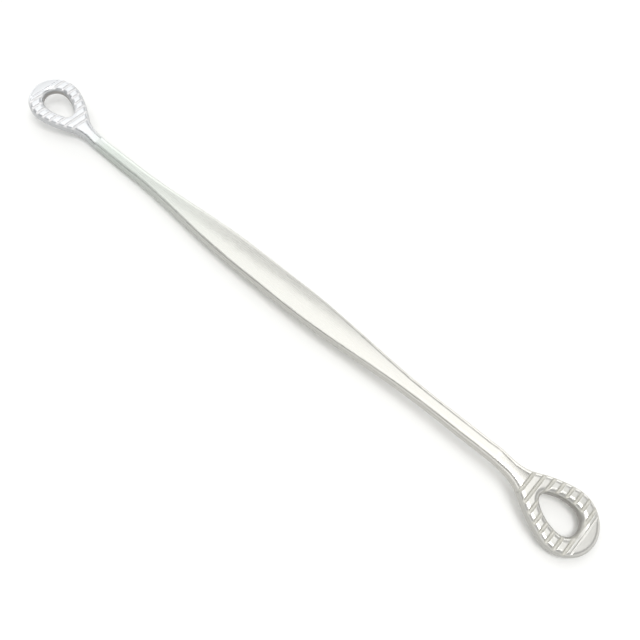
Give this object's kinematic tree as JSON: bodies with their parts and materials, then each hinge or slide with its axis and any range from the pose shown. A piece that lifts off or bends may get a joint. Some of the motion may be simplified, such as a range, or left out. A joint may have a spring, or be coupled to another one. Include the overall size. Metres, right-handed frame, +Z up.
{
  "type": "double-ended surgical wall retractor",
  "caption": "Double-ended hand-held retractor: flat steel bar, narrow necks and a bent, grooved, windowed ring at each end, one up and one down.",
  "frame": {"origin": "on the ground under the middle of the bar, with the retractor lying as it comes to rest", "axes": "+X along the bar towards the ring that is bent down, +Y across the bar, +Z up"},
  "size_m": [0.2508, 0.0196, 0.0111],
  "materials": {
    "stainless_steel": "satin"
  },
  "bodies": {
    "root": {"double_ended_retractor": "stainless_steel"}
  },
  "joints": []
}
